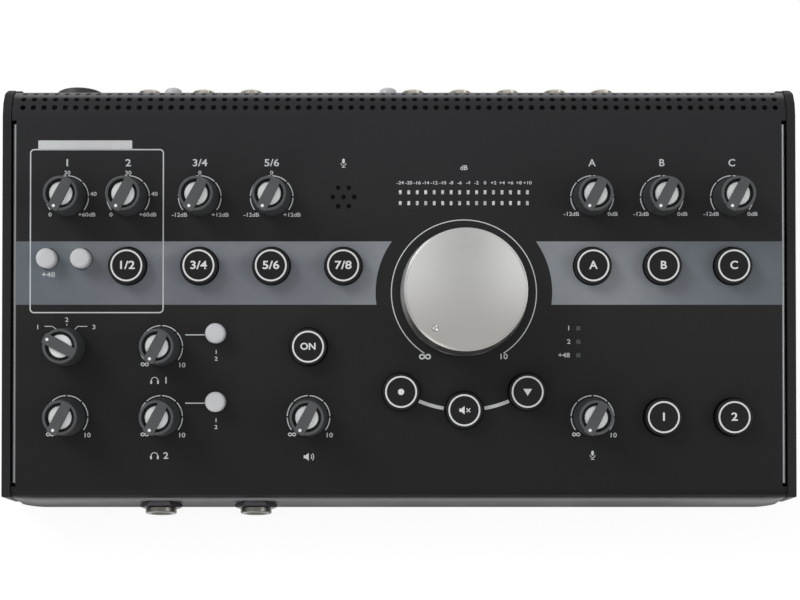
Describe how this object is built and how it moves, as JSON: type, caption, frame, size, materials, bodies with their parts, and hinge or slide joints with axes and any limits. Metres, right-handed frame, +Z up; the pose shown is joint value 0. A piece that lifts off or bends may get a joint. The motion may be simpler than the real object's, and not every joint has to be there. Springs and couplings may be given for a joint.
{
  "type": "studio monitor controller",
  "caption": "Wedge-shaped desk console that picks, meters and sets studio monitor, phones and talkback signals, with turning knobs, push buttons and rows of rear sockets.",
  "frame": {"origin": "middle of the console in width and depth, on the surface its feet stand on", "axes": "+X to the right seen from the front edge, +Y towards the rear sockets, +Z up"},
  "size_m": [0.363, 0.1988, 0.0854],
  "materials": {
    "cover_steel": "black satin powder coat",
    "tray_steel": "dark grey satin powder coat",
    "cheek_plastic": "fine grained, matte",
    "board": "green solder mask",
    "knob_plastic": "charcoal, matte",
    "volume_metal": "satin turned, clear anodised",
    "button_plastic": "black, fine grained",
    "cap_plastic": "light grey, satin gloss",
    "socket_plastic": "black moulding",
    "socket_metal": "nickel plated",
    "lens": "milky diffuser",
    "foot_rubber": "matte"
  },
  "bodies": {
    "console": {"top_cover": "cover_steel", "control_board": "board", "meter_lens": "lens", "base_tray": "tray_steel", "rear_panel": "cover_steel", "left_cheek": "cheek_plastic", "right_cheek": "cheek_plastic", "jack_board": "board", "usb_socket": "socket_metal", "power_inlet": "socket_plastic", "line_socket_pair_1": "socket_plastic", "line_socket_pair_2": "socket_plastic", "line_socket_pair_3": "socket_plastic", "line_socket_pair_4": "socket_plastic", "line_socket_pair_5": "socket_plastic", "line_socket_pair_6": "socket_plastic", "line_socket_pair_7": "socket_plastic", "line_socket_pair_8": "socket_plastic", "combo_socket_1": "socket_plastic", "combo_socket_2": "socket_plastic", "phones_socket_1": "socket_plastic", "phones_socket_2": "socket_plastic", "rubber_foot_1": "foot_rubber", "rubber_foot_2": "foot_rubber", "rubber_foot_3": "foot_rubber", "rubber_foot_4": "foot_rubber"},
    "gain_knob_1": {"gain_knob_1": "knob_plastic"},
    "gain_knob_2": {"gain_knob_2": "knob_plastic"},
    "source_trim_knob_1": {"source_trim_knob_1": "knob_plastic"},
    "source_trim_knob_2": {"source_trim_knob_2": "knob_plastic"},
    "monitor_trim_knob_a": {"monitor_trim_knob_a": "knob_plastic"},
    "monitor_trim_knob_b": {"monitor_trim_knob_b": "knob_plastic"},
    "monitor_trim_knob_c": {"monitor_trim_knob_c": "knob_plastic"},
    "cue_source_knob": {"cue_source_knob": "knob_plastic"},
    "direct_monitor_knob": {"direct_monitor_knob": "knob_plastic"},
    "phones_knob_1": {"phones_knob_1": "knob_plastic"},
    "phones_knob_2": {"phones_knob_2": "knob_plastic"},
    "studio_level_knob": {"studio_level_knob": "knob_plastic"},
    "talkback_level_knob": {"talkback_level_knob": "knob_plastic"},
    "volume_knob": {"volume_knob": "volume_metal"},
    "source_button_1_2": {"source_button_1_2": "button_plastic"},
    "source_button_3_4": {"source_button_3_4": "button_plastic"},
    "source_button_5_6": {"source_button_5_6": "button_plastic"},
    "source_button_usb": {"source_button_usb": "button_plastic"},
    "monitor_button_a": {"monitor_button_a": "button_plastic"},
    "monitor_button_b": {"monitor_button_b": "button_plastic"},
    "monitor_button_c": {"monitor_button_c": "button_plastic"},
    "studio_on_button": {"studio_on_button": "button_plastic"},
    "mono_button": {"mono_button": "button_plastic"},
    "mute_button": {"mute_button": "button_plastic"},
    "dim_button": {"dim_button": "button_plastic"},
    "talk_two_track_button": {"talk_two_track_button": "button_plastic"},
    "talk_cue_button": {"talk_cue_button": "button_plastic"},
    "phantom_power_cap": {"phantom_power_cap": "cap_plastic"},
    "stereo_pan_cap": {"stereo_pan_cap": "cap_plastic"},
    "phones_source_cap_1": {"phones_source_cap_1": "cap_plastic"},
    "phones_source_cap_2": {"phones_source_cap_2": "cap_plastic"},
    "rear_level_cap_1": {"rear_level_cap_1": "cap_plastic"},
    "rear_level_cap_2": {"rear_level_cap_2": "cap_plastic"},
    "power_rocker": {"power_rocker": "button_plastic"}
  },
  "joints": [
    {"name": "gain_knob_1_turn", "type": "hinge", "parent": "console", "child": "gain_knob_1", "pos_m": [-0.15191, 0.04104, 0.05937], "axis": [0, 0.1857, -0.9826], "range_deg": [0, 305]},
    {"name": "gain_knob_2_turn", "type": "hinge", "parent": "console", "child": "gain_knob_2", "pos_m": [-0.124, 0.04104, 0.05937], "axis": [0, 0.1857, -0.9826], "range_deg": [0, 305]},
    {"name": "source_trim_knob_1_turn", "type": "hinge", "parent": "console", "child": "source_trim_knob_1", "pos_m": [-0.0912, 0.04104, 0.05937], "axis": [0, 0.1857, -0.9826], "range_deg": [0, 305]},
    {"name": "source_trim_knob_2_turn", "type": "hinge", "parent": "console", "child": "source_trim_knob_2", "pos_m": [-0.0583, 0.04104, 0.05937], "axis": [0, 0.1857, -0.9826], "range_deg": [0, 305]},
    {"name": "monitor_trim_knob_a_turn", "type": "hinge", "parent": "console", "child": "monitor_trim_knob_a", "pos_m": [0.08841, 0.04104, 0.05937], "axis": [0, 0.1857, -0.9826], "range_deg": [0, 305]},
    {"name": "monitor_trim_knob_b_turn", "type": "hinge", "parent": "console", "child": "monitor_trim_knob_b", "pos_m": [0.1203, 0.04104, 0.05937], "axis": [0, 0.1857, -0.9826], "range_deg": [0, 305]},
    {"name": "monitor_trim_knob_c_turn", "type": "hinge", "parent": "console", "child": "monitor_trim_knob_c", "pos_m": [0.15241, 0.04104, 0.05937], "axis": [0, 0.1857, -0.9826], "range_deg": [0, 305]},
    {"name": "cue_source_knob_turn", "type": "hinge", "parent": "console", "child": "cue_source_knob", "pos_m": [-0.15191, -0.02641, 0.04663], "axis": [0, 0.1857, -0.9826], "range_deg": [0, 124]},
    {"name": "direct_monitor_knob_turn", "type": "hinge", "parent": "console", "child": "direct_monitor_knob", "pos_m": [-0.15191, -0.05787, 0.04068], "axis": [0, 0.1857, -0.9826], "range_deg": [0, 305]},
    {"name": "phones_knob_1_turn", "type": "hinge", "parent": "console", "child": "phones_knob_1", "pos_m": [-0.1087, -0.02641, 0.04663], "axis": [0, 0.1857, -0.9826], "range_deg": [0, 305]},
    {"name": "phones_knob_2_turn", "type": "hinge", "parent": "console", "child": "phones_knob_2", "pos_m": [-0.1087, -0.05787, 0.04068], "axis": [0, 0.1857, -0.9826], "range_deg": [0, 305]},
    {"name": "studio_level_knob_turn", "type": "hinge", "parent": "console", "child": "studio_level_knob", "pos_m": [-0.04133, -0.05787, 0.04068], "axis": [0, 0.1857, -0.9826], "range_deg": [0, 305]},
    {"name": "talkback_level_knob_turn", "type": "hinge", "parent": "console", "child": "talkback_level_knob", "pos_m": [0.08841, -0.05787, 0.04068], "axis": [0, 0.1857, -0.9826], "range_deg": [0, 305]},
    {"name": "volume_knob_turn", "type": "hinge", "parent": "console", "child": "volume_knob", "pos_m": [0.02969, -0.00192, 0.05126], "axis": [0, 0.1857, -0.9826], "range_deg": [0, 283]},
    {"name": "source_button_1_2_press", "type": "slide", "parent": "console", "child": "source_button_1_2", "axis": [0, 0.1857, -0.9826], "range_m": [0, 0.0015], "stiffness_N_per_m": 300, "springref_m": -0.002},
    {"name": "source_button_3_4_press", "type": "slide", "parent": "console", "child": "source_button_3_4", "axis": [0, 0.1857, -0.9826], "range_m": [0, 0.0015], "stiffness_N_per_m": 300, "springref_m": -0.002},
    {"name": "source_button_5_6_press", "type": "slide", "parent": "console", "child": "source_button_5_6", "axis": [0, 0.1857, -0.9826], "range_m": [0, 0.0015], "stiffness_N_per_m": 300, "springref_m": -0.002},
    {"name": "source_button_usb_press", "type": "slide", "parent": "console", "child": "source_button_usb", "axis": [0, 0.1857, -0.9826], "range_m": [0, 0.0015], "stiffness_N_per_m": 300, "springref_m": -0.002},
    {"name": "monitor_button_a_press", "type": "slide", "parent": "console", "child": "monitor_button_a", "axis": [0, 0.1857, -0.9826], "range_m": [0, 0.0015], "stiffness_N_per_m": 300, "springref_m": -0.002},
    {"name": "monitor_button_b_press", "type": "slide", "parent": "console", "child": "monitor_button_b", "axis": [0, 0.1857, -0.9826], "range_m": [0, 0.0015], "stiffness_N_per_m": 300, "springref_m": -0.002},
    {"name": "monitor_button_c_press", "type": "slide", "parent": "console", "child": "monitor_button_c", "axis": [0, 0.1857, -0.9826], "range_m": [0, 0.0015], "stiffness_N_per_m": 300, "springref_m": -0.002},
    {"name": "studio_on_button_press", "type": "slide", "parent": "console", "child": "studio_on_button", "axis": [0, 0.1857, -0.9826], "range_m": [0, 0.0015], "stiffness_N_per_m": 300, "springref_m": -0.002},
    {"name": "mono_button_press", "type": "slide", "parent": "console", "child": "mono_button", "axis": [0, 0.1857, -0.9826], "range_m": [0, 0.0015], "stiffness_N_per_m": 300, "springref_m": -0.002},
    {"name": "mute_button_press", "type": "slide", "parent": "console", "child": "mute_button", "axis": [0, 0.1857, -0.9826], "range_m": [0, 0.0015], "stiffness_N_per_m": 300, "springref_m": -0.002},
    {"name": "dim_button_press", "type": "slide", "parent": "console", "child": "dim_button", "axis": [0, 0.1857, -0.9826], "range_m": [0, 0.0015], "stiffness_N_per_m": 300, "springref_m": -0.002},
    {"name": "talk_two_track_button_press", "type": "slide", "parent": "console", "child": "talk_two_track_button", "axis": [0, 0.1857, -0.9826], "range_m": [0, 0.0015], "stiffness_N_per_m": 300, "springref_m": -0.002},
    {"name": "talk_cue_button_press", "type": "slide", "parent": "console", "child": "talk_cue_button", "axis": [0, 0.1857, -0.9826], "range_m": [0, 0.0015], "stiffness_N_per_m": 300, "springref_m": -0.002},
    {"name": "phantom_power_cap_press", "type": "slide", "parent": "console", "child": "phantom_power_cap", "axis": [0, 0.1857, -0.9826], "range_m": [0, 0.003], "stiffness_N_per_m": 300, "springref_m": -0.003},
    {"name": "stereo_pan_cap_press", "type": "slide", "parent": "console", "child": "stereo_pan_cap", "axis": [0, 0.1857, -0.9826], "range_m": [0, 0.003], "stiffness_N_per_m": 300, "springref_m": -0.003},
    {"name": "phones_source_cap_1_press", "type": "slide", "parent": "console", "child": "phones_source_cap_1", "axis": [0, 0.1857, -0.9826], "range_m": [0, 0.003], "stiffness_N_per_m": 300, "springref_m": -0.003},
    {"name": "phones_source_cap_2_press", "type": "slide", "parent": "console", "child": "phones_source_cap_2", "axis": [0, 0.1857, -0.9826], "range_m": [0, 0.003], "stiffness_N_per_m": 300, "springref_m": -0.003},
    {"name": "rear_level_cap_1_press", "type": "slide", "parent": "console", "child": "rear_level_cap_1", "axis": [0, -1, 0], "range_m": [0, 0.003], "stiffness_N_per_m": 300, "springref_m": -0.003},
    {"name": "rear_level_cap_2_press", "type": "slide", "parent": "console", "child": "rear_level_cap_2", "axis": [0, -1, 0], "range_m": [0, 0.003], "stiffness_N_per_m": 300, "springref_m": -0.003},
    {"name": "power_rocker_tip", "type": "hinge", "parent": "console", "child": "power_rocker", "pos_m": [0.16008, 0.0899, 0.03], "axis": [-1, 0, 0], "range_deg": [0, 24]}
  ]
}
